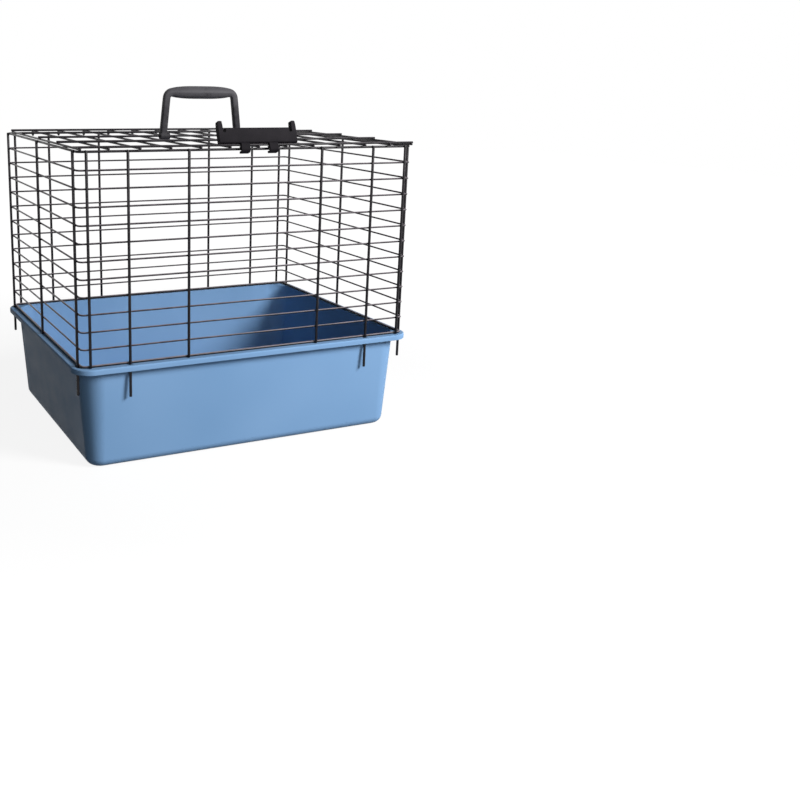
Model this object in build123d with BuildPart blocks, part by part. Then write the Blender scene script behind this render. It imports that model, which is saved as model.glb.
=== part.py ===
"""Pet carry cage: a plastic tub, a welded wire cage that lifts off it, a hinged wire lid with a
catch, and a folding carry handle. Millimetres, +Z up, front towards -Y, origin on the floor under
the middle of the tub."""
import math
import os

from build123d import *

# Wire gauges
post_wire = 3.0
cross_wire = 2.0
rib_wire = 2.5
weld_depth = 0.2
wire_sides = 8

# Cage plan, between the axes of its upright wires
cage_length = 480.0
cage_depth = 380.0
corner_inset = 13.0
bend_radius = 6.0
leg_span = 350.0
inner_span = 190.0

# Cage height
row_count = 13
row_pitch = 22.2
front_leg_reach = 45.0
side_leg_reach = 39.0

# Tub
tub_height = 141.0
tub_wall = 2.5
tub_floor = 3.0
tub_standoff = 5.0
tub_draft_inset = 10.5
tub_corner = 20.0
tub_bottom_fillet = 13.0
tub_inner_chamfer = 8.0
flange_overhang = 8.0
flange_thickness = 2.2
flange_drop = 7.6
flange_corner = 26.0
flange_chamfer = 1.4
slot_length = 8.0
slot_width = 4.0
foot_ring_width = 24.0
foot_ring_depth = 1.2

# Lid
rib_pitch = 40.0
rib_end_room = 30.0
side_rib_inset = 5.0
lid_stay_pitch = 95.0
lid_front_overhang = 2.0
rib_nose = 2.2
lid_back_setback = 22.0
stay_end_inset = 2.5
hook_wrap = 265.0
hook_steps = 6

# Carry handle
handle_feet_width = 125.0
handle_grip_width = 112.0
handle_rise = 61.0
handle_leg_width = 8.5
handle_leg_depth = 9.0
handle_chamfer = 1.4
grip_radius = 9.0
grip_end_radius = 6.8
grip_flat = 36.0
grip_sides = 16
foot_radius = 5.6
foot_boss = 6.0

# Lid catch
catch_length = 110.0
catch_depth = 9.0
catch_height = 20.0
catch_lift = 1.8
catch_rounding = 2.2
lug_width = 6.0
lug_gap = 4.0
lug_height = 10.0
lug_root = 14.0
lug_chamfer = 1.6
claw_width = 12.0
claw_spacing = 40.0
claw_shank = 4.0
claw_thickness = 2.5
claw_bite = 0.4
claw_lead = 3.0
catch_hub_radius = 4.0
catch_tilt = 20.0

# Clearances
seat_gap = 0.3
pivot_gap = 0.1
end_gap = 0.3
claw_gap = 0.4
snap_slot = 2.6

# Levels and lines that follow from the sizes
post_radius = post_wire / 2
rib_radius = rib_wire / 2
edge_offset = post_wire - weld_depth
cross_offset = (post_wire + cross_wire) / 2 - weld_depth
bottom_axis = tub_height + seat_gap + post_radius
top_axis = bottom_axis + (row_count - 1) * row_pitch
post_top = top_axis + post_radius
half_length = cage_length / 2
half_depth = cage_depth / 2
corner_x = half_length - corner_inset
corner_y = half_depth - corner_inset
hinge_y = half_depth - edge_offset
rib_axis = top_axis + post_radius + seat_gap + rib_radius
stay_axis = rib_axis + rib_radius + post_radius - weld_depth
lid_front_y = -(half_depth + lid_front_overhang)
rib_front_y = lid_front_y - rib_nose


def save(part, name):
    part.label = name
    export_step(part, f"parts/{name}.step")


def wire_outline(diameter, pivot=False):
    """Section of a wire: round where a part turns on it, eight-sided elsewhere to stay light."""
    if pivot:
        Circle(diameter / 2)
    else:
        RegularPolygon(diameter / 2, wire_sides, major_radius=False, rotation=180 / wire_sides)


def upright(x, y, bottom):
    """One vertical wire, cut off square at both ends."""
    with BuildPart() as rod:
        with BuildSketch(Plane.XY.offset(bottom)):
            with Locations((x, y)):
                wire_outline(post_wire)
        extrude(amount=post_top - bottom)
    return rod.part


def bend_corner(offset):
    """Two 45 degree turns of a wire's route round a corner, whose joining line touches the bend's arc."""
    cut = bend_radius * (1 - math.tan(math.pi / 8))
    return [(half_length - offset, half_depth - offset - cut), (half_length - offset - cut, half_depth - offset)]


def laid_wires(route, diameter, levels, pivot=False):
    """Horizontal wires that follow one route in plan at several levels."""
    with BuildPart() as wires:
        for level in levels:
            with BuildLine(Plane.XY.offset(level)) as path:
                Polyline(*route)
            with BuildSketch(Plane(origin=path.line @ 0, x_dir=(0, 0, 1), z_dir=path.line % 0)):
                wire_outline(diameter, pivot)
            sweep(path=path.line, transition=Transition.RIGHT)
    return wires.part


def wrapped_wire(side, offset, diameter, level, pivot=False):
    """Thick wire along the front (side -1) or the back (side 1), bent round both corners."""
    right_end = [(half_length - offset, corner_y + end_gap), *bend_corner(offset)]
    route = [(-x, side * y) for x, y in right_end] + [(x, side * y) for x, y in reversed(right_end)]
    return laid_wires(route, diameter, [level], pivot)


def corner_bends(side_x, side_y, offset, diameter, levels):
    """Thin wires round one corner, between the two uprights nearest to it."""
    turn = bend_corner(offset)
    route = [(half_length - offset, corner_y + end_gap), *turn, (corner_x + end_gap, half_depth - offset)]
    return laid_wires([(side_x * x, side_y * y) for x, y in route], diameter, levels)


def straight_wires(along, side, offset, diameter, levels):
    """Straight horizontal wires of one face, cut off behind its outermost uprights."""
    if along == "x":
        plane, reach, distance = Plane.YZ, corner_x - end_gap, half_depth - offset
    else:
        plane, reach, distance = Plane.XZ, corner_y - end_gap, half_length - offset
    with BuildPart() as wires:
        for level in levels:
            with BuildSketch(plane.offset(-reach)):
                with Locations((side * distance, level)):
                    wire_outline(diameter)
            extrude(amount=2 * reach)
    return wires.part


os.makedirs("parts", exist_ok=True)

# Inside of the tub: drafted sides and a chamfer round the floor
top_half_x = half_length - tub_standoff
top_half_y = half_depth - tub_standoff
floor_half_x = top_half_x - tub_draft_inset
floor_half_y = top_half_y - tub_draft_inset
draft = tub_draft_inset / tub_height
draft_angle = math.degrees(math.atan(draft))
wall_inset = tub_wall * (1 - draft)
with BuildPart() as cavity:
    with BuildSketch(Plane.XY.offset(tub_wall)):
        RectangleRounded(2 * (floor_half_x - wall_inset), 2 * (floor_half_y - wall_inset), tub_corner - wall_inset)
    extrude(amount=tub_height - tub_wall, taper=-draft_angle)
    chamfer(cavity.faces().sort_by(Axis.Z)[0].edges(), tub_inner_chamfer)

# Tub: one moulding with a flat rim that turns down at its outer edge
flange_half_x = half_length + flange_overhang
flange_half_y = half_depth + flange_overhang
skirt_half_x = flange_half_x - flange_thickness
skirt_half_y = flange_half_y - flange_thickness
pad_x = 2 * (floor_half_x - foot_ring_width)
pad_y = 2 * (floor_half_y - foot_ring_width)
with BuildPart() as tub:
    with BuildSketch():
        RectangleRounded(2 * floor_half_x, 2 * floor_half_y, tub_corner)
    extrude(amount=tub_height, taper=-draft_angle)
    fillet(tub.faces().sort_by(Axis.Z)[0].edges(), tub_bottom_fillet)
    with BuildSketch(Plane.XY.offset(tub_height - flange_drop)):
        RectangleRounded(2 * flange_half_x, 2 * flange_half_y, flange_corner)
    extrude(amount=flange_drop)
    chamfer(tub.faces().sort_by(Axis.Z)[-1].outer_wire().edges(), flange_chamfer)
    with BuildSketch(Plane.XY.offset(tub_height - flange_drop)):
        RectangleRounded(2 * skirt_half_x, 2 * skirt_half_y, flange_corner - flange_thickness)
        RectangleRounded(2 * top_half_x, 2 * top_half_y, tub_corner + tub_draft_inset, mode=Mode.SUBTRACT)
    extrude(amount=flange_drop - flange_thickness, mode=Mode.SUBTRACT)
    add(cavity.part, mode=Mode.SUBTRACT)
    # Floor pad above and shallow recess below, so that it stands on its outer ring
    with BuildSketch(Plane.XY.offset(tub_wall / 2)):
        RectangleRounded(pad_x, pad_y, tub_corner)
    extrude(amount=tub_floor + foot_ring_depth - tub_wall / 2)
    with BuildSketch():
        RectangleRounded(pad_x, pad_y, tub_corner)
    extrude(amount=foot_ring_depth, mode=Mode.SUBTRACT)
    # Slots that the legs of the wire cage drop through
    with BuildSketch(Plane.XY.offset(tub_height)):
        with GridLocations(leg_span, cage_depth, 2, 2):
            Rectangle(slot_length, slot_width)
        with GridLocations(cage_length, 2 * corner_y, 2, 2):
            Rectangle(slot_width, slot_length)
    extrude(amount=-2 * flange_thickness, mode=Mode.SUBTRACT)
save(tub.part, "tub")

# Cage body: thick upright wires outside, thin cross wires welded inside them, thick edge wires
inner_levels = [bottom_axis + row * row_pitch for row in range(1, row_count - 1)]
upright_foot = tub_height + seat_gap
front_leg_foot = bottom_axis - front_leg_reach
side_leg_foot = bottom_axis - side_leg_reach
for face, y in (("front", -half_depth), ("back", half_depth)):
    for name, x, foot in (
        ("corner_wire_left", -corner_x, upright_foot),
        ("leg_wire_left", -leg_span / 2, front_leg_foot),
        ("upright_left", -inner_span / 2, upright_foot),
        ("upright_right", inner_span / 2, upright_foot),
        ("leg_wire_right", leg_span / 2, front_leg_foot),
        ("corner_wire_right", corner_x, upright_foot),
    ):
        save(upright(x, y, foot), f"{face}_{name}")
for face, x in (("left", -half_length), ("right", half_length)):
    save(upright(x, -corner_y, side_leg_foot), f"{face}_leg_wire_front")
    save(upright(x, 0, upright_foot), f"{face}_upright")
    save(upright(x, corner_y, side_leg_foot), f"{face}_leg_wire_back")
for face, side in (("front", -1), ("back", 1)):
    lid_turns_here = face == "back"
    save(wrapped_wire(side, edge_offset, post_wire, bottom_axis), f"{face}_bottom_wire")
    save(straight_wires("x", side, cross_offset, cross_wire, inner_levels), f"{face}_cross_wires")
    save(corner_bends(-1, side, cross_offset, cross_wire, inner_levels), f"{face}_left_corner_bends")
    save(corner_bends(1, side, cross_offset, cross_wire, inner_levels), f"{face}_right_corner_bends")
    save(wrapped_wire(side, edge_offset, post_wire, top_axis, lid_turns_here), f"{face}_top_wire")
for face, side in (("left", -1), ("right", 1)):
    save(straight_wires("y", side, edge_offset, post_wire, [bottom_axis]), f"{face}_bottom_wire")
    save(straight_wires("y", side, cross_offset, cross_wire, inner_levels), f"{face}_cross_wires")
    save(straight_wires("y", side, edge_offset, post_wire, [top_axis]), f"{face}_top_wire")

# Lid ribs: wires from back to front whose back ends are bent round the cage's back top wire
hook_radius = rib_axis - top_axis
hook_turns = [math.radians(hook_wrap * step / hook_steps) for step in range(hook_steps + 1)]
hook = [(hinge_y + hook_radius * math.sin(turn), top_axis + hook_radius * math.cos(turn)) for turn in hook_turns]
hooked_ribs = 2 * int((half_length - rib_end_room) // rib_pitch) + 1
for rib in range(hooked_ribs):
    rib_x = (rib - (hooked_ribs - 1) / 2) * rib_pitch
    with BuildPart() as lid_rib:
        with BuildLine(Plane.YZ.offset(rib_x)) as rib_path:
            Polyline((rib_front_y, rib_axis), *hook)
        with BuildSketch(Plane(origin=rib_path.line @ 0, x_dir=(1, 0, 0), z_dir=rib_path.line % 0)):
            wire_outline(rib_wire)
        sweep(path=rib_path.line, transition=Transition.RIGHT)
    save(lid_rib.part, f"lid_rib_{rib + 1:02d}")
lid_back_y = hinge_y - lid_back_setback
for name, side in (("left", -1), ("right", 1)):
    with BuildPart() as lid_side:
        with BuildSketch(Plane.XZ.offset(-rib_front_y)):
            with Locations((side * (half_length - side_rib_inset), rib_axis)):
                wire_outline(rib_wire)
        extrude(amount=rib_front_y - lid_back_y - rib_nose)
    save(lid_side.part, f"lid_side_wire_{name}")

# Lid stays: thick wires welded across the ribs; the catch turns on the first, the handle on the third
stay_reach = half_length - stay_end_inset
for name, stay_y, pivot in (
    ("front_wire", lid_front_y, True),
    ("stay_front", -lid_stay_pitch, False),
    ("handle_wire", 0, True),
    ("stay_back", lid_stay_pitch, False),
    ("back_wire", lid_back_y, False),
):
    with BuildPart() as lid_stay:
        with BuildSketch(Plane.YZ.offset(-stay_reach)):
            with Locations((stay_y, stay_axis)):
                wire_outline(post_wire, pivot)
        extrude(amount=2 * stay_reach)
    save(lid_stay.part, f"lid_{name}")

# Carry handle: splayed legs, a crowned grip and feet that snap over the handle wire
foot_x = (handle_feet_width - handle_leg_width) / 2
grip_x = (handle_grip_width - handle_leg_width) / 2
grip_axis = stay_axis + handle_rise
with BuildPart() as carry_handle:
    with BuildSketch(Plane.XZ.offset(-handle_leg_depth / 2)):
        with BuildLine():
            FilletPolyline(
                (-foot_x, stay_axis), (-grip_x, grip_axis), (grip_x, grip_axis), (foot_x, stay_axis),
                radius=handle_leg_width,
            )
            offset(amount=handle_leg_width / 2, side=Side.BOTH)
        make_face()
    extrude(amount=handle_leg_depth)
    chamfer(carry_handle.edges().filter_by(Axis.Y, reverse=True), handle_chamfer)
    # Crowned grip between the legs
    for x, radius in (
        (-grip_x, grip_end_radius),
        (-grip_flat / 2, grip_radius),
        (grip_flat / 2, grip_radius),
        (grip_x, grip_end_radius),
    ):
        with BuildSketch(Plane.YZ.offset(x)):
            with Locations((0, grip_axis)):
                RegularPolygon(radius, grip_sides)
    loft(ruled=True)
    # Feet with an inward boss, a bore for the wire and a narrower slot to snap over it
    for side in (-1, 1):
        with BuildSketch(Plane.YZ.offset(side * (foot_x + handle_leg_width / 2))):
            with Locations((0, stay_axis)):
                Circle(foot_radius)
        extrude(amount=-side * (handle_leg_width + foot_boss))
    with BuildSketch(Plane.YZ.offset(-handle_feet_width / 2)):
        with Locations((0, stay_axis)):
            Circle(post_radius + pivot_gap)
            Rectangle(snap_slot, foot_radius, align=(Align.CENTER, Align.MAX))
    extrude(amount=handle_feet_width, mode=Mode.SUBTRACT)
save(carry_handle.part, "carry_handle")

# Lid catch: a bar that turns on the lid's front wire, with two claws for the cage's front top wire
tilt = math.radians(catch_tilt)
claw_top = top_axis - stay_axis - post_radius - claw_gap
claw_bottom = claw_top - claw_thickness
claw_tip = -lid_front_y - hinge_y + claw_bite
bar_front = -catch_hub_radius
bar_middle = (bar_front + catch_depth / 2, catch_lift + catch_height / 2)
lug_middle = (bar_middle[0], bar_middle[1] + lug_height / 2)
notch_middle = (bar_middle[0], bar_middle[1] + lug_root)


def catch_plane(x):
    """Cross-section of the catch at x, leaning back by its tilt about the lid's front wire."""
    return Plane(
        origin=(x, lid_front_y, stay_axis),
        x_dir=(0, math.cos(tilt), -math.sin(tilt)),
        z_dir=(1, 0, 0),
    )


with BuildPart() as lid_catch:
    with BuildSketch(catch_plane(-catch_length / 2)):
        with Locations(bar_middle):
            RectangleRounded(catch_depth, catch_height, catch_rounding)
    extrude(amount=catch_length)
    # Upstanding thumb lugs at both ends, parted from the bar by a notch
    for x in (-catch_length / 2, catch_length / 2 - lug_width):
        with BuildSketch(catch_plane(x)):
            with Locations(lug_middle):
                Rectangle(catch_depth, catch_height + lug_height)
        extrude(amount=lug_width)
    chamfer(lid_catch.faces().sort_by(Axis.Z)[-2:].edges(), lug_chamfer)
    for x in (-catch_length / 2 + lug_width, catch_length / 2 - lug_width - lug_gap):
        with BuildSketch(catch_plane(x)):
            with Locations(notch_middle):
                Rectangle(2 * catch_depth, catch_height)
        extrude(amount=lug_gap, mode=Mode.SUBTRACT)
    # Hubs that snap over the wire, each with a shank and a claw below it
    for x in (-claw_spacing / 2, claw_spacing / 2):
        with BuildSketch(catch_plane(x - claw_width / 2)):
            Circle(catch_hub_radius)
            with BuildLine():
                Polyline(
                    (bar_front, 0),
                    (bar_front, claw_bottom + claw_lead),
                    (bar_front + claw_lead, claw_bottom),
                    (claw_tip, claw_bottom),
                    (claw_tip, claw_top),
                    (bar_front + claw_shank, claw_top),
                    (bar_front + claw_shank, 0),
                    close=True,
                )
            make_face()
        extrude(amount=claw_width)
    with BuildSketch(catch_plane(-catch_length / 2)):
        Circle(post_radius + pivot_gap)
        Rectangle(catch_depth, snap_slot, align=(Align.MIN, Align.CENTER))
    extrude(amount=catch_length, mode=Mode.SUBTRACT)
save(lid_catch.part, "lid_catch")
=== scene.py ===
import math

import bpy
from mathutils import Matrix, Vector


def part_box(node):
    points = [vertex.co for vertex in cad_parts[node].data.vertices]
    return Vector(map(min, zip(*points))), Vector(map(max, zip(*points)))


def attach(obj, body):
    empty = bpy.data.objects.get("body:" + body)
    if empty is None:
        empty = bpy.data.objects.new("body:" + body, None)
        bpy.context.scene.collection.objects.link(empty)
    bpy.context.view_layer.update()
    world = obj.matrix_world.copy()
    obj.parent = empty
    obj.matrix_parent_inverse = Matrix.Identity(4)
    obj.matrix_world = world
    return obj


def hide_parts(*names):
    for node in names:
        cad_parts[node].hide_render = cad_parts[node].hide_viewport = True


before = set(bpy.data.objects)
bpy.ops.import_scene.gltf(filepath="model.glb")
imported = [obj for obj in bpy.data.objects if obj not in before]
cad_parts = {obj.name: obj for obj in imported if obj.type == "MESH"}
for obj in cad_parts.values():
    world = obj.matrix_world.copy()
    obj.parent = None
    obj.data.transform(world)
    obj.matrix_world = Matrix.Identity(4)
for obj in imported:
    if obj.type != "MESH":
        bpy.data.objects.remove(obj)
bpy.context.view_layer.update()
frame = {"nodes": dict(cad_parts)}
mm = 0.001
print("frame loaded:", len(frame["nodes"]), "nodes")


# Helpers that every piece uses

def deselectAll():
    if bpy.context.mode != "OBJECT":
        bpy.ops.object.mode_set(mode="OBJECT")
    bpy.ops.object.select_all(action="DESELECT")


def makeActive(obj):
    deselectAll()
    obj.select_set(True)
    bpy.context.view_layer.objects.active = obj


def pickFaces(obj, wanted):  # leaves edit mode on, with the wanted faces selected
    bpy.ops.object.mode_set(mode="EDIT")
    bpy.ops.mesh.select_mode(type="FACE")
    bpy.ops.mesh.select_all(action="DESELECT")
    bpy.ops.object.mode_set(mode="OBJECT")
    for face in obj.data.polygons:
        face.select = wanted(face)
    bpy.ops.object.mode_set(mode="EDIT")


def pickEdges(obj, wanted):  # wanted gets the two ends of each edge
    bpy.ops.object.mode_set(mode="EDIT")
    bpy.ops.mesh.select_mode(type="EDGE")
    bpy.ops.mesh.select_all(action="DESELECT")
    bpy.ops.object.mode_set(mode="OBJECT")
    points = obj.data.vertices
    for edge in obj.data.edges:
        edge.select = wanted(points[edge.vertices[0]].co, points[edge.vertices[1]].co)
    bpy.ops.object.mode_set(mode="EDIT")


def applyModifier(obj, kind, name, **values):
    makeActive(obj)
    modifier = obj.modifiers.new(name, kind)
    for key, value in values.items():
        setattr(modifier, key, value)
    bpy.ops.object.modifier_apply(modifier=modifier.name)


def cutOrJoin(obj, other, operation):  # boolean with a helper shape, which is then removed
    applyModifier(obj, "BOOLEAN", operation.lower(), object=other, operation=operation, solver="EXACT")
    bpy.data.objects.remove(other)


def settle(obj, angle):  # place into the mesh, faces outwards, soft shading up to an angle
    makeActive(obj)
    bpy.ops.object.transform_apply(location=True, rotation=True, scale=True)
    bpy.ops.object.mode_set(mode="EDIT")
    bpy.ops.mesh.select_all(action="SELECT")
    bpy.ops.mesh.normals_make_consistent(inside=False)
    bpy.ops.object.mode_set(mode="OBJECT")
    bpy.ops.object.shade_smooth_by_angle(angle=math.radians(angle))


def nextPlane(first):  # a unit plane in edit mode: a new object's first, or one more of the same object
    if first:
        bpy.ops.mesh.primitive_plane_add(size=1, location=(0, 0, 0))
        bpy.ops.object.mode_set(mode="EDIT")
        bpy.ops.mesh.select_mode(type="VERT")
        bpy.ops.mesh.select_all(action="SELECT")
    else:
        bpy.ops.mesh.select_all(action="DESELECT")
        bpy.ops.mesh.primitive_plane_add(size=1, location=(0, 0, 0))


def block(low, high):  # a cube stretched between two corners, left in edit mode with everything selected
    deselectAll()
    bpy.ops.mesh.primitive_cube_add(size=1, location=(0, 0, 0))
    bpy.ops.object.mode_set(mode="EDIT")
    bpy.ops.mesh.select_all(action="SELECT")
    bpy.ops.transform.resize(value=[(b - a) * mm for a, b in zip(low, high)])
    bpy.ops.transform.translate(value=[(a + b) / 2 * mm for a, b in zip(low, high)])
    return bpy.context.object


def cylinderAlongX(centre, radius, depth, sides):
    deselectAll()
    bpy.ops.mesh.primitive_cylinder_add(
        vertices=sides, radius=radius * mm, depth=depth * mm,
        location=[c * mm for c in centre], rotation=(0, math.pi / 2, 0),
    )
    bpy.ops.object.transform_apply(location=True, rotation=True, scale=True)
    return bpy.context.object


def copyOf(obj, name):  # a copy with its own mesh
    twin = obj.copy()
    twin.data = obj.data.copy()
    twin.name = name
    twin.data.name = name
    bpy.context.scene.collection.objects.link(twin)
    return twin


def hand(obj, material, body, nodes):  # gives the piece its finish and its place in the frame
    obj.data.materials.clear()
    obj.data.materials.append(material)
    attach(obj, body)
    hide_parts(*nodes)


# Finishes

def freshMaterial(name):
    material = bpy.data.materials.new(name)
    material.use_nodes = True
    nodes = material.node_tree.nodes
    return material, nodes, material.node_tree.links, nodes["Principled BSDF"]


def noiseOn(nodes, links, source, scale, detail, roughness=0.5):
    noise = nodes.new("ShaderNodeTexNoise")
    noise.inputs["Scale"].default_value = scale
    noise.inputs["Detail"].default_value = detail
    noise.inputs["Roughness"].default_value = roughness
    links.new(source, noise.inputs["Vector"])
    return noise.outputs["Fac"]


def rampOn(nodes, links, source, stops):
    ramp = nodes.new("ShaderNodeValToRGB")
    ramp.color_ramp.elements[0].position = stops[0][0]
    ramp.color_ramp.elements[0].color = stops[0][1]
    ramp.color_ramp.elements[1].position = stops[-1][0]
    ramp.color_ramp.elements[1].color = stops[-1][1]
    for place, colour in stops[1:-1]:
        ramp.color_ramp.elements.new(place).color = colour
    links.new(source, ramp.inputs["Fac"])
    return ramp.outputs["Color"]


def rangeOn(nodes, links, source, low, high, start=0.3, stop=0.7):
    spread = nodes.new("ShaderNodeMapRange")
    spread.inputs["From Min"].default_value = start
    spread.inputs["From Max"].default_value = stop
    spread.inputs["To Min"].default_value = low
    spread.inputs["To Max"].default_value = high
    links.new(source, spread.inputs["Value"])
    return spread.outputs["Result"]


def mathOn(nodes, links, operation, first, second):
    step = nodes.new("ShaderNodeMath")
    step.operation = operation
    links.new(first, step.inputs[0])
    links.new(second, step.inputs[1])
    return step.outputs[0]


def upOf(nodes, links, source):  # the upward part of a place or a normal
    axes = nodes.new("ShaderNodeSeparateXYZ")
    links.new(source, axes.inputs[0])
    return axes.outputs["Z"]


def bumpOn(nodes, links, source, strength, distance, before=None):
    bump = nodes.new("ShaderNodeBump")
    bump.inputs["Strength"].default_value = strength
    bump.inputs["Distance"].default_value = distance
    links.new(source, bump.inputs["Height"])
    if before is not None:
        links.new(before, bump.inputs["Normal"])
    return bump.outputs["Normal"]


bluePlastic = {
    "deep": (0.166, 0.308, 0.520, 1),
    "plain": (0.184, 0.330, 0.548, 1),
    "light": (0.202, 0.352, 0.575, 1),
    "driftScale": 5.0,  # slow change of tone across the moulding
    "smearScale": 34.0,  # handling marks, in the gloss only
    "gloss": (0.30, 0.42),
    "sink": {"scale": 14.0, "strength": 0.10, "depth": 0.0020},  # faint, as on a thin moulded wall
    "grain": {"scale": 900, "strength": 0.10, "depth": 0.0002},
    "shine": 0.015,
}


def makeBluePlastic():
    material, nodes, links, surface = freshMaterial("tubPlastic")
    place = nodes.new("ShaderNodeTexCoord").outputs["Object"]
    drift = noiseOn(nodes, links, place, bluePlastic["driftScale"], 2.0)
    links.new(rampOn(nodes, links, drift, [
        (0.30, bluePlastic["deep"]), (0.50, bluePlastic["plain"]), (0.72, bluePlastic["light"]),
    ]), surface.inputs["Base Color"])
    smears = noiseOn(nodes, links, place, bluePlastic["smearScale"], 5.0, 0.6)
    links.new(rangeOn(nodes, links, smears, *bluePlastic["gloss"]), surface.inputs["Roughness"])
    grain, sink = bluePlastic["grain"], bluePlastic["sink"]
    texture = noiseOn(nodes, links, place, grain["scale"], 2.0)
    waves = noiseOn(nodes, links, place, sink["scale"], 1.0)
    broad = bumpOn(nodes, links, waves, sink["strength"], sink["depth"])
    fine = bumpOn(nodes, links, texture, grain["strength"], grain["depth"], broad)
    links.new(fine, surface.inputs["Normal"])
    surface.inputs["Specular IOR Level"].default_value = bluePlastic["shine"]
    return material


blackCoat = {
    "deep": (0.0040, 0.0030, 0.0046, 1),
    "dusty": (0.0105, 0.0085, 0.0115, 1),
    # the next colour is a painted highlight on the wires' upper sides
    "paintedHighlight": (0.250, 0.215, 0.240, 1),
    "dustScale": 70.0,
    "dustRange": (0.38, 0.75),
    "highlightFacing": (0.0, 0.70),  # how far a side faces up, from no painted highlight to most
    "roofHighlightFade": (0.392, 0.406),  # heights between which the painted highlight thins out towards the roof
    "roofHighlightFadeShare": 0.42,
    "gloss": (0.30, 0.46),
    "peel": {"scale": 620, "strength": 0.25, "depth": 0.0002},
    "shine": 0.20,
}


def makeBlackCoat():
    material, nodes, links, surface = freshMaterial("coatedWire")
    coordinates = nodes.new("ShaderNodeTexCoord")
    place = coordinates.outputs["Object"]
    facing = upOf(nodes, links, coordinates.outputs["Normal"])
    dust = noiseOn(nodes, links, place, blackCoat["dustScale"], 4.0, 0.6)
    paintedHighlight = mathOn(  # painted highlight: the upper sides are painted pale, standing in for the key lamp's reflection, and less so on the roof
        nodes, links, "MULTIPLY",
        rangeOn(nodes, links, facing, 0.0, 0.7, *blackCoat["highlightFacing"]),
        rangeOn(nodes, links, upOf(nodes, links, place), 1.0, blackCoat["roofHighlightFadeShare"], *blackCoat["roofHighlightFade"]),
    )
    speckle = rangeOn(nodes, links, dust, 0.0, 0.3, *blackCoat["dustRange"])
    links.new(rampOn(nodes, links, mathOn(nodes, links, "ADD", speckle, paintedHighlight), [
        (0.0, blackCoat["deep"]), (0.3, blackCoat["dusty"]), (1.0, blackCoat["paintedHighlight"]),
    ]), surface.inputs["Base Color"])
    links.new(rangeOn(nodes, links, dust, *blackCoat["gloss"]), surface.inputs["Roughness"])
    peel = blackCoat["peel"]  # orange peel of a baked coat
    ripple = noiseOn(nodes, links, place, peel["scale"], 2.0)
    links.new(bumpOn(nodes, links, ripple, peel["strength"], peel["depth"]), surface.inputs["Normal"])
    surface.inputs["Specular IOR Level"].default_value = blackCoat["shine"]
    return material


# one plastic in two copies: the handle's tones are painted paler, as painted light, and the catch's darker,
# as painted shade
paintedLitPlastic = {
    "deep": (0.016, 0.015, 0.018, 1),
    "wornAndLit": (0.072, 0.070, 0.077, 1),
    "paintedLightAbove": (0.440, 0.474),  # heights above which the upper parts are painted paler, as painted light
    "wearScale": 45.0,
    "gloss": (0.45, 0.60),
    "grain": {"scale": 1500, "strength": 0.25, "depth": 0.0002},
    "shine": 0.12,
}
paintedShadedPlastic = {
    "deep": (0.009, 0.008, 0.010, 1),
    "wornAndLit": (0.020, 0.018, 0.021, 1),
    "paintedLightAbove": (0.405, 0.450),
    "wearScale": 45.0,
    "gloss": (0.50, 0.66),
    "grain": {"scale": 1500, "strength": 0.25, "depth": 0.0002},
    "shine": 0.03,
}


def makePlastic(name, finish):
    material, nodes, links, surface = freshMaterial(name)
    place = nodes.new("ShaderNodeTexCoord").outputs["Object"]
    wear = noiseOn(nodes, links, place, finish["wearScale"], 4.0, 0.6)
    height = rangeOn(nodes, links, upOf(nodes, links, place), -0.25, 0.15, *finish["paintedLightAbove"])
    wearAndPaintedLight = mathOn(nodes, links, "ADD", wear, height)  # random wear, plus painted light that makes the upper parts paler
    links.new(rampOn(nodes, links, wearAndPaintedLight, [
        (0.25, finish["deep"]), (0.65, finish["wornAndLit"]),
    ]), surface.inputs["Base Color"])
    links.new(rangeOn(nodes, links, wear, *finish["gloss"]), surface.inputs["Roughness"])
    grain = finish["grain"]
    cells = nodes.new("ShaderNodeTexVoronoi")  # leather grain of the mould
    cells.inputs["Scale"].default_value = grain["scale"]
    links.new(place, cells.inputs["Vector"])
    bumps = bumpOn(nodes, links, cells.outputs["Distance"], grain["strength"], grain["depth"])
    links.new(bumps, surface.inputs["Normal"])
    surface.inputs["Specular IOR Level"].default_value = finish["shine"]
    return material


tubPlastic = makeBluePlastic()
coatedWire = makeBlackCoat()
handlePlastic = makePlastic("handlePlastic", paintedLitPlastic)
catchPlastic = makePlastic("catchPlastic", paintedShadedPlastic)
print("finishes made")


# Tub: rounded rings from the recess underneath, up the outside, round the rim and down inside

tub = {
    "floorHalf": (226.5, 176.5),
    "floorCorner": 20.0,
    "rimHalf": (248.0, 198.0),
    "rimCorner": 26.0,
    "draft": 10.5 / 141.0,
    "height": 141.0,
    "heel": 13.0,  # radius of the bottom edge
    "heelSteps": 8,
    "wall": 2.314,
    "flange": 2.2,
    "skirtDrop": 7.6,
    "lip": 1.9,  # radius of the rim's upper edge
    "lipSteps": 5,
    "outerRing": 60.0,  # below the flange, where the outer wall has a ring more
    "innerRing": 80.0,  # above the floor, the same inside
    "padInset": 26.0,
    "padCorner": 20.0,
    "recess": 1.2,
    "padTop": 4.2,
    "innerFloor": 2.5,
    "cornerSteps": 12,
    # places and sizes of the slots for the cage's legs
    "slots": [(x, y, 8.0, 4.0) for x in (-175, 175) for y in (-190, 190)]
    + [(x, y, 4.0, 8.0) for x in (-240, 240) for y in (-177, 177)],
    "slotCut": 6.0,
    "slotRound": 1.4,
    "softAngle": 35,
}


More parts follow.
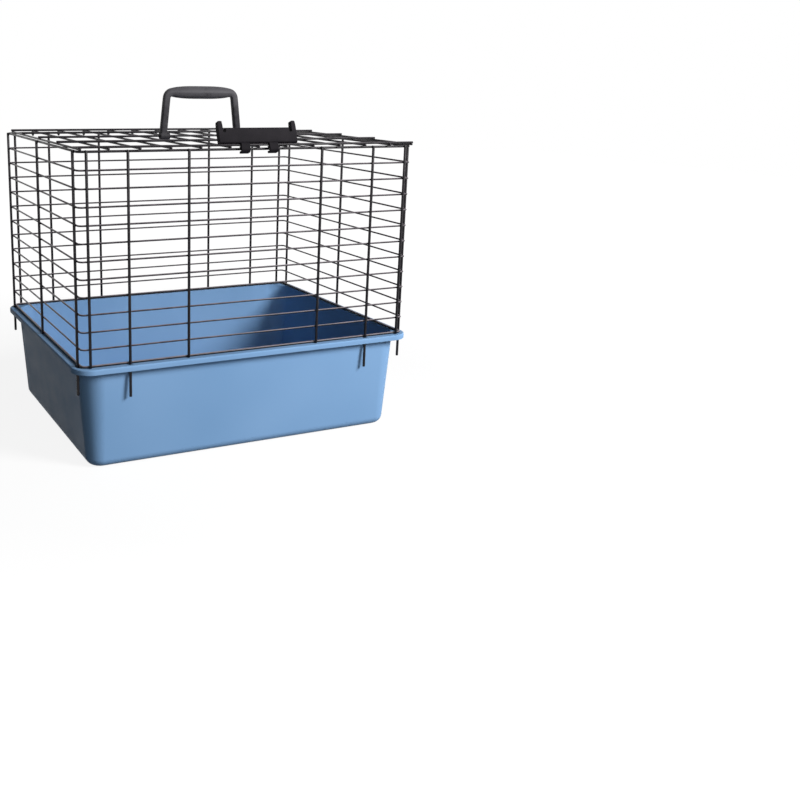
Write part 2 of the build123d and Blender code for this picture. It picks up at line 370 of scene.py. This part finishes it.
def tubRings():
    top = tub["height"]
    lean = math.atan(tub["draft"])
    rings = []

    def pad(grow, z):  # a ring round the middle of the floor
        halfX, halfY = (half - tub["padInset"] for half in tub["floorHalf"])
        rings.append((halfX + grow, halfY + grow, tub["padCorner"] + grow, z))

    def wall(grow, z):  # a ring of the drafted body
        rings.append((tub["floorHalf"][0] + grow, tub["floorHalf"][1] + grow, tub["floorCorner"] + grow, z))

    def rim(grow, z):  # a ring of the flange
        rings.append((tub["rimHalf"][0] + grow, tub["rimHalf"][1] + grow, tub["rimCorner"] + grow, z))

    # Recess under the floor, inside the standing ring
    pad(-0.4, tub["recess"])
    pad(0.2, tub["recess"] - 0.5)
    pad(0.9, 0.05)
    # Rounded bottom edge, then the drafted wall up to the fillet under the flange
    heel = tub["heel"]
    heelTurns = [(math.pi / 2 - lean) * step / tub["heelSteps"] for step in range(tub["heelSteps"] + 1)]
    reach = heel * math.tan((math.pi / 2 - lean) / 2)
    wall(-reach, 0.0)
    for turn in heelTurns[1:]:
        wall(-reach + heel * math.sin(turn), heel - heel * math.cos(turn))
    under = top - tub["flange"]
    middle = under - tub["outerRing"]
    wall(tub["draft"] * middle, middle)
    wall(tub["draft"] * (under - 1.6), under - 1.6)
    wall(tub["draft"] * under + 0.35, under - 0.55)
    wall(tub["draft"] * under + 1.5, under)
    # Flange and the skirt that turns down at its edge
    skirt = -tub["flange"]
    rim(skirt - 1.2, under - 0.05)  # rings to be bridged never share a level
    rim(skirt - 0.35, under - 0.35)
    rim(skirt, under - 1.2)
    low = top - tub["skirtDrop"]
    rim(skirt, low + 0.9)
    rim(skirt + 0.35, low + 0.25)
    rim(skirt + 1.1, low)
    rim(-0.3, low + 0.3)
    rim(0.0, low + 1.1)
    # Rounded upper edge, then down inside to the raised pad of the floor
    lip = tub["lip"]
    for step in range(tub["lipSteps"] + 1):
        turn = math.pi / 2 * step / tub["lipSteps"]
        rim(-lip + lip * math.cos(turn), top - lip + lip * math.sin(turn))
    inner = -tub["wall"] - tub["draft"] * tub["innerFloor"]
    wall(inner + tub["draft"] * top + 1.3, top - 0.05)
    wall(inner + tub["draft"] * top + 0.35, top - 0.35)
    wall(inner + tub["draft"] * (top - 1.2), top - 1.2)
    wall(inner + tub["draft"] * tub["innerRing"], tub["innerRing"])
    bowl = heel - tub["innerFloor"]
    for turn in reversed(heelTurns):
        wall(-reach + bowl * math.sin(turn), heel - bowl * math.cos(turn))
    pad(0.9, tub["innerFloor"] + 0.05)
    pad(0.1, tub["padTop"] - 0.4)
    pad(-0.7, tub["padTop"])
    return rings


def roundedRing(halfX, halfY, corner, z, first):
    nextPlane(first)
    bpy.ops.transform.resize(value=(2 * halfX * mm, 2 * halfY * mm, 1))
    bpy.ops.transform.translate(value=(0, 0, z * mm))
    bpy.ops.mesh.bevel(affect="VERTICES", offset=corner * mm, segments=tub["cornerSteps"])
    bpy.ops.mesh.delete(type="ONLY_FACE")


def pickRings(obj, first, count, ringSize):  # rings were made in order, so their points follow each other
    bpy.ops.object.mode_set(mode="EDIT")
    bpy.ops.mesh.select_mode(type="VERT")
    bpy.ops.mesh.select_all(action="DESELECT")
    bpy.ops.object.mode_set(mode="OBJECT")
    for point in obj.data.vertices[first * ringSize:(first + count) * ringSize]:
        point.select = True
    bpy.ops.object.mode_set(mode="EDIT")


def bridgeRings(obj, ringCount, ringSize, caps):
    for ring in range(ringCount - 1):
        pickRings(obj, ring, 2, ringSize)
        bpy.ops.mesh.bridge_edge_loops()
    for ring in caps:
        pickRings(obj, ring, 1, ringSize)
        bpy.ops.mesh.edge_face_add()


def makeTub():
    deselectAll()
    rings = tubRings()
    for place, ring in enumerate(rings):
        roundedRing(*ring, first=place == 0)
    obj = bpy.context.object
    obj.name = "tubBody"
    bridgeRings(obj, len(rings), 4 * (tub["cornerSteps"] + 1), (0, len(rings) - 1))
    bpy.ops.mesh.select_all(action="SELECT")
    bpy.ops.mesh.normals_make_consistent(inside=False)
    bpy.ops.object.mode_set(mode="OBJECT")
    deselectAll()
    for place, (x, y, alongX, alongY) in enumerate(tub["slots"]):
        if place == 0:
            bpy.ops.mesh.primitive_cube_add(size=1, location=(0, 0, 0))
            bpy.ops.object.mode_set(mode="EDIT")
            bpy.ops.mesh.select_all(action="SELECT")
        else:
            bpy.ops.mesh.select_all(action="DESELECT")
            bpy.ops.mesh.primitive_cube_add(size=1, location=(0, 0, 0))
        bpy.ops.transform.resize(value=(alongX * mm, alongY * mm, tub["slotCut"] * mm))
        bpy.ops.transform.translate(value=(x * mm, y * mm, tub["height"] * mm))
    slotCutter = bpy.context.object
    pickEdges(slotCutter, lambda a, b: abs(a.z - b.z) > 4 * mm)
    bpy.ops.mesh.bevel(affect="EDGES", offset=tub["slotRound"] * mm, segments=3)
    bpy.ops.object.mode_set(mode="OBJECT")
    cutOrJoin(obj, slotCutter, "DIFFERENCE")
    settle(obj, tub["softAngle"])
    applyModifier(obj, "WEIGHTED_NORMAL", "flatter", mode="FACE_AREA", weight=70, keep_sharp=True)
    hand(obj, tubPlastic, "tub", ["tub"])
    print("tub:", len(obj.data.polygons), "faces")


makeTub()


# Wires: a ring of the wire's section is laid along its route, and its ends are closed and rounded

wires = {
    "sides": 12,
    "post": 1.85,  # radii, with the coat as thick as the photograph shows it
    "edge": 1.6,
    "pivot": 1.5,
    "cross": 1.2,
    "rib": 1.4,
    "bend": 6.0,
    "bendSteps": 7,
    "endRound": 0.4,  # share of the radius
    "softAngle": 50,
    "rowWeld": 1.75,
    "endWeld": 2.1,
    "weldSquash": 0.62,
    "firstRow": 165.0,
    "pitch": 22.2,
    "rows": 11,
    "cageHalf": (240.0, 190.0),
    "edgeInset": 2.8,
    "crossInset": 2.3,
    "buttLine": (227.0, 177.0),
    "buttGap": 0.3,
    "bottomAxis": 142.8,
    "topAxis": 409.2,
}


def startWire(point, facing, radius):
    deselectAll()
    bpy.ops.mesh.primitive_circle_add(
        vertices=wires["sides"], radius=radius * mm, location=[c * mm for c in point], rotation=facing
    )
    bpy.ops.object.mode_set(mode="EDIT")
    bpy.ops.mesh.select_mode(type="EDGE")
    bpy.ops.mesh.select_all(action="SELECT")


def runStraight(move):
    bpy.ops.mesh.extrude_edges_move(TRANSFORM_OT_translate={"value": [c * mm for c in move]})


def runBend(centre, axis, degrees, steps):
    bpy.ops.mesh.spin(steps=steps, angle=math.radians(degrees), center=[c * mm for c in centre], axis=axis)


def closeWire(name, radius):
    obj = bpy.context.object
    obj.name = name
    bpy.ops.mesh.select_all(action="SELECT")
    bpy.ops.mesh.fill_holes(sides=0)
    bpy.ops.mesh.select_all(action="SELECT")
    bpy.ops.mesh.normals_make_consistent(inside=False)
    pickFaces(obj, lambda face: len(face.vertices) == wires["sides"])
    bpy.ops.mesh.bevel(affect="EDGES", offset=wires["endRound"] * radius * mm, segments=2)
    bpy.ops.object.mode_set(mode="OBJECT")
    bpy.ops.object.transform_apply(location=True, rotation=True, scale=True)
    return obj


def addWelds(obj, places, flat, size):  # pools of coating where wires are welded, flat is their thin axis
    makeActive(obj)
    bpy.ops.object.transform_apply(location=True, rotation=True, scale=True)
    bpy.ops.object.mode_set(mode="EDIT")
    for place in places:
        bpy.ops.mesh.select_all(action="DESELECT")
        bpy.ops.mesh.primitive_uv_sphere_add(segments=10, ring_count=6, radius=size * mm, location=(0, 0, 0))
        squeeze = [1.0, 1.0, 1.0]
        squeeze[flat] = wires["weldSquash"]
        bpy.ops.transform.resize(value=squeeze)
        bpy.ops.transform.translate(value=[c * mm for c in place])
    bpy.ops.object.mode_set(mode="OBJECT")


rowLevels = [wires["firstRow"] + row * wires["pitch"] for row in range(wires["rows"])]


def makeUprights():
    nodes = frame["nodes"]
    lengths = {}
    for name in sorted(nodes):
        if not any(word in name for word in ("corner_wire", "leg_wire", "upright")):
            continue
        low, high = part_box(name)
        foot = round(low.z / mm, 2)
        if foot not in lengths:  # one model for each length, at the middle of the front face
            startWire((0, -wires["cageHalf"][1], foot), (0, 0, 0), wires["post"])
            runStraight((0, 0, high.z / mm - foot))
            model = closeWire(f"uprightModel{len(lengths)}", wires["post"])
            seam = -wires["cageHalf"][1] + wires["post"]
            addWelds(model, [(0, seam, level) for level in rowLevels], 1, wires["rowWeld"])
            ends = [(0, seam, wires[level]) for level in ("bottomAxis", "topAxis")]
            addWelds(model, ends, 1, wires["endWeld"])
            lengths[foot] = model
        obj = copyOf(lengths[foot], name.replace("_", "."))
        middle = (low + high) / 2
        face = name.split("_")[0]
        turn = {"front": 0, "right": 90, "back": 180, "left": -90}[face]
        obj.rotation_euler = (0, 0, math.radians(turn))
        along = middle.x if face in ("front", "back") else middle.y
        side = wires["cageHalf"][1] * mm
        if face in ("front", "back"):
            obj.location = (along, 0, 0)
        else:
            outer = wires["cageHalf"][0] * mm - side
            obj.location = (outer if face == "right" else -outer, along, 0)
        settle(obj, wires["softAngle"])
        hand(obj, coatedWire, "wire_cage", [name])
    for model in lengths.values():
        bpy.data.objects.remove(model)
    print("uprights:", len(lengths), "lengths")


makeUprights()


def makeWrapped(side, inset, radius, level, name):  # runs round the two corners of the front or the back
    halfX, halfY = wires["cageHalf"]
    x = halfX - inset
    y = halfY - inset
    bend = wires["bend"]
    start = wires["buttLine"][1] + wires["buttGap"]
    startWire((-x, side * start, level), (math.pi / 2, 0, 0), radius)
    runStraight((0, side * (y - bend - start), 0))
    runBend((-x + bend, side * (y - bend), level), (0, 0, side), 90, wires["bendSteps"])
    runStraight((2 * (x - bend), 0, 0))
    runBend((x - bend, side * (y - bend), level), (0, 0, side), 90, wires["bendSteps"])
    runStraight((0, -side * (y - bend - start), 0))
    return closeWire(name, radius)


def makeStraight(along, side, inset, radius, level, name):
    reach = wires["buttLine"][0 if along == "x" else 1] - wires["buttGap"]
    halfX, halfY = wires["cageHalf"]
    if along == "x":
        startWire((-reach, side * (halfY - inset), level), (0, math.pi / 2, 0), radius)
        runStraight((2 * reach, 0, 0))
    else:
        startWire((side * (halfX - inset), -reach, level), (math.pi / 2, 0, 0), radius)
        runStraight((0, 2 * reach, 0))
    return closeWire(name, radius)


def makeBend(sideX, sideY, name):  # thin wire round one corner, between the uprights next to it
    x = wires["cageHalf"][0] - wires["crossInset"]
    y = wires["cageHalf"][1] - wires["crossInset"]
    bend = wires["bend"]
    level = wires["firstRow"]
    start = wires["buttLine"][1] + wires["buttGap"]
    end = wires["buttLine"][0] + wires["buttGap"]
    startWire((sideX * x, sideY * start, level), (math.pi / 2, 0, 0), wires["cross"])
    runStraight((0, sideY * (y - bend - start), 0))
    runBend((sideX * (x - bend), sideY * (y - bend), level), (0, 0, -sideX * sideY), 90, wires["bendSteps"])
    runStraight((-sideX * (x - bend - end), 0, 0))
    return closeWire(name, wires["cross"])


def stackRows(obj, node):  # one wire becomes the eleven thin rows
    applyModifier(
        obj, "ARRAY", "rows", count=wires["rows"], use_relative_offset=False, use_constant_offset=True,
        constant_offset_displace=(0, 0, wires["pitch"] * mm),
    )
    settle(obj, wires["softAngle"])
    hand(obj, coatedWire, "wire_cage", [node])


def makeHorizontals():
    edge, cross = wires["edge"], wires["cross"]
    for face, side, along in (("front", -1, "x"), ("back", 1, "x"), ("left", -1, "y"), ("right", 1, "y")):
        if along == "x":
            bottom = makeWrapped(side, wires["edgeInset"], edge, wires["bottomAxis"], f"{face}.bottomWire")
        else:
            bottom = makeStraight(
                along, side, wires["edgeInset"], edge, wires["bottomAxis"], f"{face}.bottomWire"
            )
        top = copyOf(bottom, f"{face}.topWire")
        top.location.z += (wires["topAxis"] - wires["bottomAxis"]) * mm
        for obj, node in ((bottom, "bottom_wire"), (top, "top_wire")):
            settle(obj, wires["softAngle"])
            hand(obj, coatedWire, "wire_cage", [f"{face}_{node}"])
        rows = makeStraight(along, side, wires["crossInset"], cross, wires["firstRow"], f"{face}.crossWires")
        stackRows(rows, f"{face}_cross_wires")
    for face, sideY in (("front", -1), ("back", 1)):
        for end, sideX in (("left", -1), ("right", 1)):
            stackRows(makeBend(sideX, sideY, f"{face}.{end}.cornerBends"), f"{face}_{end}_corner_bends")
    print("horizontals laid")


makeHorizontals()


# Lid: hooked ribs from back to front, thick stays across them

lid = {
    "nose": 2.2,  # how far a rib runs past its first and last stay
    "hingeY": 187.2,
    "ribAxis": 412.25,
    "stayAxis": 414.8,
    "pitch": 40.0,
    "ribs": 11,
    "weld": 1.9,
    "sideX": 235.0,
    "stayReach": 237.5,
    "hookTurn": 265,
    "hookSteps": 14,
    "stays": {
        "lid_front_wire": -192.0,
        "lid_stay_front": -95.0,
        "lid_handle_wire": 0.0,
        "lid_stay_back": 95.0,
        "lid_back_wire": 165.2,
    },
    "pivots": ("lid_front_wire", "lid_handle_wire"),  # the catch and the handle turn on these
}


def makeLid():
    stays = lid["stays"]
    front = stays["lid_front_wire"] - lid["nose"]
    seam = (lid["ribAxis"] + wires["rib"] + lid["stayAxis"] - wires["edge"]) / 2
    startWire((0, front, lid["ribAxis"]), (math.pi / 2, 0, 0), wires["rib"])
    runStraight((0, lid["hingeY"] - front, 0))
    runBend((0, lid["hingeY"], wires["topAxis"]), (1, 0, 0), lid["hookTurn"], lid["hookSteps"])
    rib = closeWire("ribModel", wires["rib"])
    addWelds(rib, [(0, y, seam) for y in stays.values()], 2, lid["weld"])
    for count in range(lid["ribs"]):
        name = f"lid_rib_{count + 1:02d}"
        obj = copyOf(rib, f"lid.rib{count + 1:02d}")
        obj.location.x = (count - (lid["ribs"] - 1) / 2) * lid["pitch"] * mm
        settle(obj, wires["softAngle"])
        hand(obj, coatedWire, "lid", [name])
    bpy.data.objects.remove(rib)
    startWire((-lid["sideX"], front, lid["ribAxis"]), (math.pi / 2, 0, 0), wires["rib"])
    runStraight((0, stays["lid_back_wire"] + lid["nose"] - front, 0))
    left = closeWire("lid.sideWireLeft", wires["rib"])
    addWelds(left, [(-lid["sideX"], y, seam) for y in stays.values()], 2, lid["weld"])
    right = copyOf(left, "lid.sideWireRight")
    right.location.x += 2 * lid["sideX"] * mm
    for obj, name in ((left, "lid_side_wire_left"), (right, "lid_side_wire_right")):
        settle(obj, wires["softAngle"])
        hand(obj, coatedWire, "lid", [name])
    for name, y in stays.items():
        radius = wires["pivot"] if name in lid["pivots"] else wires["edge"]
        startWire((-lid["stayReach"], y, lid["stayAxis"]), (0, math.pi / 2, 0), radius)
        runStraight((2 * lid["stayReach"], 0, 0))
        stay = closeWire(name.replace("_", "."), radius)
        settle(stay, wires["softAngle"])
        hand(stay, coatedWire, "lid", [name])
    print("lid wires laid")


makeLid()


# Carry handle: half of it is lofted through rings, then mirrored

handle = {
    "footX": 58.25,
    "gripX": 51.75,
    "footZ": lid["stayAxis"],
    "gripZ": 475.8,
    "legHalf": (5.0, 4.9),
    "legCorner": 2.6,
    "legRings": (0.0, 0.25, 0.5, 0.75, 1.0),  # shares of the leg's height
    "bend": 8.5,
    "bendSteps": 5,
    "bendEnd": 6.3,  # radii where the bend ends, where the grip starts and at its middle
    "gripEnd": 6.8,
    "gripMiddle": 9.0,
    "gripFlat": 18.0,
    "gripRings": (0.12, 0.35, 0.62, 0.85, 1.0),  # shares of the way to the middle
    "roundest": 0.98,  # corner radius of a round section, against its half width
    "cornerSteps": 3,
    "bossRadius": 5.6,
    "bossLength": 14.5,
    "bossRound": 0.9,
    "bore": 1.6,
    "boreLength": 40.0,
    "snap": 2.6,
    "snapDrop": 8.0,
    "snapFlare": 1.9,  # the mouth of the slot against its throat
    "softAngle": 40,
}


def sectionRing(centre, lean, halfU, halfY, corner, first):  # lean 0 faces up, 90 faces along -X
    nextPlane(first)
    bpy.ops.transform.resize(value=(2 * halfU * mm, 2 * halfY * mm, 1))
    bpy.ops.mesh.bevel(affect="VERTICES", offset=corner * mm, segments=handle["cornerSteps"])
    bpy.ops.transform.rotate(value=math.radians(lean), orient_axis="Y", center_override=(0, 0, 0))
    bpy.ops.transform.translate(value=[c * mm for c in centre])
    bpy.ops.mesh.delete(type="ONLY_FACE")


def makeHandle():
    deselectAll()
    foot = Vector((handle["footX"], 0, handle["footZ"]))
    corner = Vector((handle["gripX"], 0, handle["gripZ"]))
    rise = (corner - foot).normalized()
    lean = math.degrees(math.atan2(foot.x - corner.x, corner.z - foot.z))
    inside = math.radians(90 - lean)
    reach = handle["bend"] * math.tan(inside / 2)
    bendStart = corner - rise * reach
    bendCentre = bendStart + Vector((-rise.z, 0, rise.x)) * handle["bend"]
    halfU, halfY = handle["legHalf"]
    sections = []
    for share in handle["legRings"]:
        sections.append((foot + (bendStart - foot) * share, lean, halfU, halfY, handle["legCorner"]))
    for step in range(1, handle["bendSteps"] + 1):
        share = step / handle["bendSteps"]
        turn = math.radians(lean) + inside * share
        out = Vector((math.cos(turn), 0, math.sin(turn))) * handle["bend"]
        swell = share * share * (3 - 2 * share)  # eases in and out
        radius = handle["bendEnd"]
        u = halfU + (radius - halfU) * swell
        y = halfY + (radius - halfY) * swell
        edge = handle["legCorner"] + (radius * handle["roundest"] - handle["legCorner"]) * swell
        edge = min(edge, handle["roundest"] * min(u, y))
        sections.append((bendCentre + out, math.degrees(turn), u, y, edge))
    span = sections[-1][0].x
    for share in handle["gripRings"]:
        x = span * (1 - share)
        swell = min(1.0, (span - x) / (span - handle["gripFlat"]))
        swell = math.sin(swell * math.pi / 2)
        radius = handle["gripEnd"] + (handle["gripMiddle"] - handle["gripEnd"]) * swell
        sections.append((Vector((x, 0, handle["gripZ"])), 90, radius, radius, handle["roundest"] * radius))
    for place, section in enumerate(sections):
        sectionRing(*section, first=place == 0)
    obj = bpy.context.object
    obj.name = "carryHandle"
    bridgeRings(obj, len(sections), 4 * (handle["cornerSteps"] + 1), ())
    bpy.ops.mesh.select_all(action="SELECT")
    bpy.ops.mesh.normals_make_consistent(inside=False)
    bpy.ops.object.mode_set(mode="OBJECT")
    return obj


def footOf():  # boss of one foot
    middle = handle["footX"] + handle["legHalf"][0] - handle["bossLength"] / 2
    boss = cylinderAlongX((middle, 0, handle["footZ"]), handle["bossRadius"], handle["bossLength"], 40)
    pickFaces(boss, lambda face: len(face.vertices) > 4)  # its flat ends
    bpy.ops.mesh.bevel(affect="EDGES", offset=handle["bossRound"] * mm, segments=3)
    bpy.ops.object.mode_set(mode="OBJECT")
    return boss


def boreOf():  # the bore for the wire, with the slot that snaps over it
    x, z = handle["footX"], handle["footZ"]
    reach, half = handle["boreLength"] / 2, handle["snap"] / 2
    bore = cylinderAlongX((x, 0, z), handle["bore"], handle["boreLength"], 32)
    gate = block((x - reach, -half, z - handle["snapDrop"]), (x + reach, half, z))
    pickFaces(gate, lambda face: face.normal.z < -0.9)
    bpy.ops.transform.resize(value=(1, handle["snapFlare"], 1))
    bpy.ops.object.mode_set(mode="OBJECT")
    cutOrJoin(bore, gate, "UNION")
    return bore


def finishHandle():
    obj = makeHandle()
    applyModifier(obj, "SUBSURF", "smoother", levels=1, render_levels=1)
    bpy.ops.object.mode_set(mode="EDIT")
    bpy.ops.mesh.select_all(action="SELECT")
    bpy.ops.mesh.fill_holes(sides=0)
    bpy.ops.object.mode_set(mode="OBJECT")
    cutOrJoin(obj, footOf(), "UNION")
    cutOrJoin(obj, boreOf(), "DIFFERENCE")
    points = obj.data.vertices
    pickFaces(obj, lambda face: all(abs(points[corner].co.x) < 0.02 * mm for corner in face.vertices))
    bpy.ops.mesh.delete(type="FACE")
    bpy.ops.object.mode_set(mode="OBJECT")
    applyModifier(obj, "MIRROR", "other half", use_axis=(True, False, False), merge_threshold=0.05 * mm)
    obj.name = "carryHandle"
    settle(obj, handle["softAngle"])
    applyModifier(obj, "WEIGHTED_NORMAL", "flatter", mode="FACE_AREA", weight=60, keep_sharp=True)
    hand(obj, handlePlastic, "handle", ["carry_handle"])
    print("carry handle:", len(obj.data.polygons), "faces")


finishHandle()


# Lid catch: modelled upright about its wire, then leaned back over it

latch = {
    "wire": (lid["stays"]["lid_front_wire"], lid["stayAxis"]),
    "tilt": 20,
    "length": 110.0,
    "front": -4.0,
    "depth": 9.0,
    "low": 1.8,
    "high": 21.8,
    "round": 2.2,
    "lugWidth": 6.0,
    "lugTop": 31.0,
    "lugFoot": 2.5,  # how far the lug starts above the bar's lower edge
    "lugStep": 1.5,  # where it starts to taper, above the bar
    "lugTaper": 0.86,
    "lugRound": 1.6,
    "notch": (4.0, 15.8),
    "notchRound": 1.2,
    "cutterReach": 20.0,
    "clawX": 20.0,
    "clawWidth": 12.0,
    "hub": 4.0,
    "shank": 4.0,
    "clawTop": -7.5,
    "clawLow": -10.0,
    "clawTip": 5.2,
    "clawLead": 3.9,
    "bore": 1.6,
    "boreLength": 80.0,
    "snap": 2.6,
    "snapReach": 8.0,
    "edge": 0.45,
    "softAngle": 40,
}


def makeBar():
    half = latch["length"] / 2
    front = latch["front"]
    back = front + latch["depth"]
    bar = block((-half, front, latch["low"]), (half, back, latch["high"]))
    pickEdges(bar, lambda a, b: abs(a.x - b.x) > 50 * mm)
    bpy.ops.mesh.bevel(affect="EDGES", offset=latch["round"] * mm, segments=5)
    bpy.ops.object.mode_set(mode="OBJECT")
    return bar


def makeLug(side):
    half = latch["length"] / 2
    front = latch["front"]
    back = front + latch["depth"]
    ends = sorted((side * half, side * (half - latch["lugWidth"])))
    shoulder = latch["high"] + latch["lugStep"]
    lug = block((ends[0], front, latch["low"] + latch["lugFoot"]), (ends[1], back, shoulder))
    pickFaces(lug, lambda face: face.normal.z > 0.9)
    rise = latch["lugTop"] - shoulder
    bpy.ops.mesh.extrude_region_move(TRANSFORM_OT_translate={"value": (0, 0, rise * mm)})
    bpy.ops.transform.resize(value=(latch["lugTaper"], latch["lugTaper"], 1))  # narrower towards the thumb
    bpy.ops.mesh.bevel(affect="EDGES", offset=latch["lugRound"] * mm, segments=4)
    bpy.ops.object.mode_set(mode="OBJECT")
    return lug


def makeClaw(x):
    half = latch["clawWidth"] / 2
    front, low = latch["front"], latch["clawLow"]
    claw = block((x - half, front, low), (x + half, front + latch["shank"], 0))
    pickEdges(claw, lambda a, b: max(a.y, b.y) < (front + 0.01) * mm and max(a.z, b.z) < (low + 0.01) * mm)
    bpy.ops.mesh.bevel(affect="EDGES", offset=latch["clawLead"] * mm, segments=3)
    bpy.ops.object.mode_set(mode="OBJECT")
    heel = front + latch["clawLead"] - 0.1  # the toe starts just inside the shank
    toe = block((x - half, heel, low), (x + half, latch["clawTip"], latch["clawTop"]))
    bpy.ops.object.mode_set(mode="OBJECT")
    cutOrJoin(claw, toe, "UNION")
    cutOrJoin(claw, cylinderAlongX((x, 0, 0), latch["hub"], latch["clawWidth"], 36), "UNION")
    return claw


def makeCatch():
    obj = makeBar()
    half = latch["length"] / 2
    for side in (-1, 1):
        cutOrJoin(obj, makeLug(side), "UNION")
    for side in (-1, 1):
        near = half - latch["lugWidth"]
        ends = sorted((side * near, side * (near - latch["notch"][0])))
        bottom, reach = latch["notch"][1], latch["cutterReach"]
        notch = block((ends[0], -reach, bottom), (ends[1], reach, bottom + reach))
        pickEdges(notch, lambda a, b: abs(a.y - b.y) > reach * mm and max(a.z, b.z) < (bottom + 1) * mm)
        bpy.ops.mesh.bevel(affect="EDGES", offset=latch["notchRound"] * mm, segments=3)
        bpy.ops.object.mode_set(mode="OBJECT")
        cutOrJoin(obj, notch, "DIFFERENCE")
    for side in (-1, 1):
        cutOrJoin(obj, makeClaw(side * latch["clawX"]), "UNION")
    cutOrJoin(obj, cylinderAlongX((0, 0, 0), latch["bore"], latch["boreLength"], 32), "DIFFERENCE")
    reach = latch["boreLength"] / 2
    gate = block((-reach, 0, -latch["snap"] / 2), (reach, latch["snapReach"], latch["snap"] / 2))
    bpy.ops.object.mode_set(mode="OBJECT")
    cutOrJoin(obj, gate, "DIFFERENCE")
    applyModifier(
        obj, "BEVEL", "soft edges", width=latch["edge"] * mm, segments=2, limit_method="ANGLE",
        angle_limit=math.radians(50),
    )
    obj.rotation_euler = (math.radians(-latch["tilt"]), 0, 0)
    obj.location = (0, latch["wire"][0] * mm, latch["wire"][1] * mm)
    obj.name = "lidCatch"
    settle(obj, latch["softAngle"])
    applyModifier(obj, "WEIGHTED_NORMAL", "flatter", mode="FACE_AREA", weight=60, keep_sharp=True)
    hand(obj, catchPlastic, "catch", ["lid_catch"])
    print("lid catch:", len(obj.data.polygons), "faces")


makeCatch()


# Studio: pale floor, white background, one soft key lamp from the right and above, a weak fill

studio = {
    "floorSize": 9.0,
    "floorTone": (0.13, 0.13, 0.13, 1),
    "nearGlow": 0.89,
    "farGlow": 1.0,
    "glowReach": (0.45, 1.2),  # distances between which the floor goes from near to far
    "ambient": 0.03,
    "key": {"at": (1.36, -1.88, 1.40), "watts": 89, "size": 1.0},
    "fill": {"at": (-0.1, -2.7, 1.0), "watts": 16, "size": 1.6},
    "target": (0.0, 0.0, 0.20),
}


def seenDirectly(nodes, links):  # 1 for what the camera, glossy and clear surfaces see, else 0
    path = nodes.new("ShaderNodeLightPath")
    seen = path.outputs["Is Camera Ray"]
    for kind in ("Is Glossy Ray", "Is Transmission Ray"):
        seen = mathOn(nodes, links, "MAXIMUM", seen, path.outputs[kind])
    return seen


def makeFloor():
    deselectAll()
    bpy.ops.mesh.primitive_plane_add(size=studio["floorSize"], location=(0, 0, 0))
    floor = bpy.context.object
    floor.name = "studioFloor"
    material, nodes, links, surface = freshMaterial("studioFloor")
    surface.inputs["Base Color"].default_value = studio["floorTone"]
    surface.inputs["Roughness"].default_value = 1.0
    surface.inputs["Specular IOR Level"].default_value = 0.0
    place = nodes.new("ShaderNodeTexCoord").outputs["Object"]
    distance = nodes.new("ShaderNodeVectorMath")
    distance.operation = "LENGTH"
    links.new(place, distance.inputs[0])
    glow = rangeOn(
        nodes, links, distance.outputs["Value"], studio["nearGlow"], studio["farGlow"], *studio["glowReach"]
    )
    seen = mathOn(nodes, links, "MULTIPLY", seenDirectly(nodes, links), glow)
    links.new(seen, surface.inputs["Emission Strength"])
    surface.inputs["Emission Color"].default_value = (1, 1, 1, 1)
    floor.data.materials.append(material)


def makeWorld():
    world = bpy.data.worlds.new("studioWorld")
    bpy.context.scene.world = world
    world.use_nodes = True
    nodes = world.node_tree.nodes
    links = world.node_tree.links
    strength = rangeOn(nodes, links, seenDirectly(nodes, links), studio["ambient"], 1.0, 0.0, 1.0)
    links.new(strength, nodes["Background"].inputs["Strength"])
    nodes["Background"].inputs["Color"].default_value = (1, 1, 1, 1)


def makeLamp(name, at, watts, size):
    data = bpy.data.lights.new(name, "AREA")
    data.shape = "DISK"
    data.size = size
    data.energy = watts
    lamp = bpy.data.objects.new(name, data)
    bpy.context.scene.collection.objects.link(lamp)
    lamp.location = at
    lamp.rotation_euler = (Vector(studio["target"]) - Vector(at)).to_track_quat("-Z", "Y").to_euler()


camera = {
    "sensor": 36.0,
    "at": (-0.5610, -1.3353, 0.5008),
    "turn": (76.696, -1.016, -25.91),
    "lens": 44.212,
    "shift": (0.18, -0.115),
}


def makeCamera():
    data = bpy.data.cameras.new("photoCamera")
    data.sensor_width = camera["sensor"]
    data.lens = camera["lens"]
    data.shift_x, data.shift_y = camera["shift"]
    obj = bpy.data.objects.new("photoCamera", data)
    bpy.context.scene.collection.objects.link(obj)
    obj.location = camera["at"]
    obj.rotation_euler = [math.radians(angle) for angle in camera["turn"]]
    bpy.context.scene.camera = obj


makeFloor()
makeWorld()
makeLamp("keyLamp", **studio["key"])
makeLamp("fillLamp", **studio["fill"])
makeCamera()
bpy.context.scene.view_settings.view_transform = "Standard"
print("studio ready")
